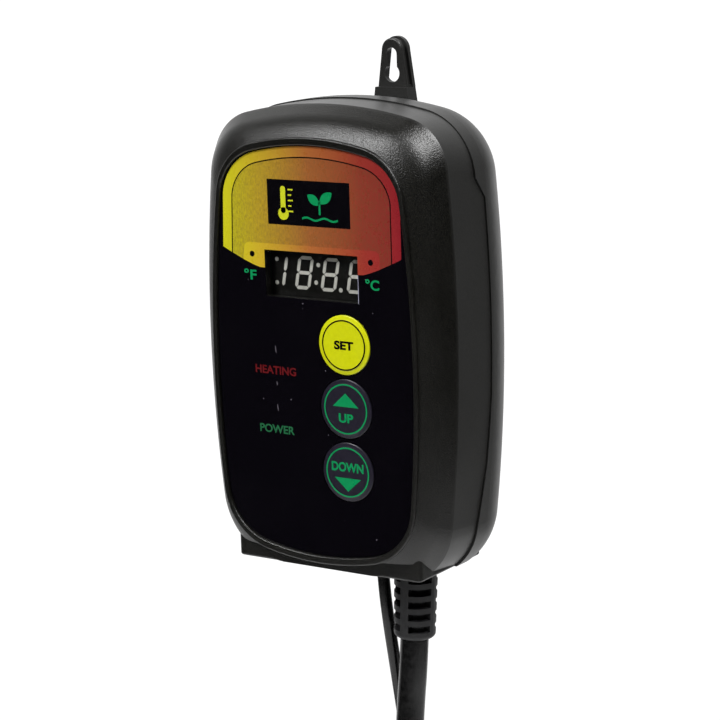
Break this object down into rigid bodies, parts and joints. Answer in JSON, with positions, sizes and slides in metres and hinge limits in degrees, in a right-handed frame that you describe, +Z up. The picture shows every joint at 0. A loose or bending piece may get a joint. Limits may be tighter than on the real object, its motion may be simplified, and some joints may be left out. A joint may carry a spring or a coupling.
{
  "type": "heat mat thermostat",
  "caption": "Wall-hung digital thermostat for a seedling heat mat: dark case with a display, round keys, lamps, a keyhole tab, a mains cord with a pass-through plug and a probe.",
  "frame": {"origin": "middle of the hanging hole, in the keyhole plate's thickness", "axes": "+X to the viewer's right, +Y from the front into the wall, +Z up"},
  "size_m": [0.1218, 0.0469, 0.397],
  "materials": {
    "shell": "charcoal plastic, fine grain",
    "screw_steel": "zinc-plated steel",
    "label": "glossy printed film",
    "window": "clear acrylic",
    "display": "dark display face",
    "bars": "unlit display bars",
    "black_plastic": "black moulded plastic",
    "key_yellow": "yellow key cap with a printed face",
    "key_dark": "dark key cap with a printed face",
    "lamp_lens": "diffused lens",
    "tinned_steel": "tinned wire",
    "board": "green circuit board",
    "white_plastic": "off-white nylon",
    "ribbon": "grey ribbon cable",
    "relay_plastic": "blue relay case",
    "core_iron": "stacked laminations",
    "coil_tape": "yellow winding tape",
    "capacitor_sleeve": "shrunk sleeve",
    "film_box": "moulded box",
    "surge_coat": "dipped coating",
    "fuse_glass": "glass tube",
    "brass_parts": "brass",
    "terminal_plastic": "green terminal block",
    "wire_cover": "wire insulation",
    "relief_rubber": "flexible black bush",
    "cord_rubber": "black cord jacket",
    "tie_plastic": "nylon tie",
    "plug_rubber": "moulded plug",
    "plug_face": "hard socket face",
    "tip_steel": "stainless steel"
  },
  "bodies": {
    "case": {"front_shell": "shell", "back_shell": "shell", "hanging_tab": "shell", "case_screws": "screw_steel", "front_label": "label", "display_window": "window", "display_module": "display", "display_bars": "bars", "switch_bases": "black_plastic", "status_lamps": "lamp_lens", "unit_lamps": "lamp_lens", "lamp_legs": "tinned_steel", "control_board": "board", "control_board_screws": "screw_steel", "controller_chip": "black_plastic", "link_sockets": "white_plastic", "link_ribbon": "ribbon", "probe_socket": "white_plastic", "probe_lead": "cord_rubber", "power_board": "board", "power_board_screws": "screw_steel", "relay": "relay_plastic", "transformer_core": "core_iron", "transformer_coil": "coil_tape", "supply_capacitors": "capacitor_sleeve", "film_capacitor": "film_box", "surge_disc": "surge_coat", "fuse_tube": "fuse_glass", "fuse_caps": "brass_parts", "terminal_block": "terminal_plastic", "terminal_screws": "screw_steel", "conductors": "wire_cover", "strain_relief": "relief_rubber", "cord_stub": "cord_rubber", "cord_clamp": "white_plastic", "cord_clamp_screws": "screw_steel", "probe_grommet": "relief_rubber", "mains_cord": "cord_rubber", "mains_coil": "cord_rubber", "mains_tail": "cord_rubber", "mains_ties": "tie_plastic", "plug_body": "plug_rubber", "outlet_plate": "plug_face", "plug_blades": "brass_parts", "ground_pin": "brass_parts", "outlet_contacts": "brass_parts", "probe_cable": "cord_rubber", "probe_coil": "cord_rubber", "probe_tail": "cord_rubber", "probe_tie": "tie_plastic", "probe_sleeve": "cord_rubber", "probe_tip": "tip_steel"},
    "set_key": {"set_button": "key_yellow", "set_plunger": "black_plastic"},
    "up_key": {"up_button": "key_dark", "up_plunger": "black_plastic"},
    "down_key": {"down_button": "key_dark", "down_plunger": "black_plastic"}
  },
  "joints": [
    {"name": "set_press", "type": "slide", "parent": "case", "child": "set_key", "axis": [0, 1, 0], "range_m": [0, 0.0004], "stiffness_N_per_m": 2500},
    {"name": "up_press", "type": "slide", "parent": "case", "child": "up_key", "axis": [0, 1, 0], "range_m": [0, 0.0004], "stiffness_N_per_m": 2500},
    {"name": "down_press", "type": "slide", "parent": "case", "child": "down_key", "axis": [0, 1, 0], "range_m": [0, 0.0004], "stiffness_N_per_m": 2500}
  ]
}
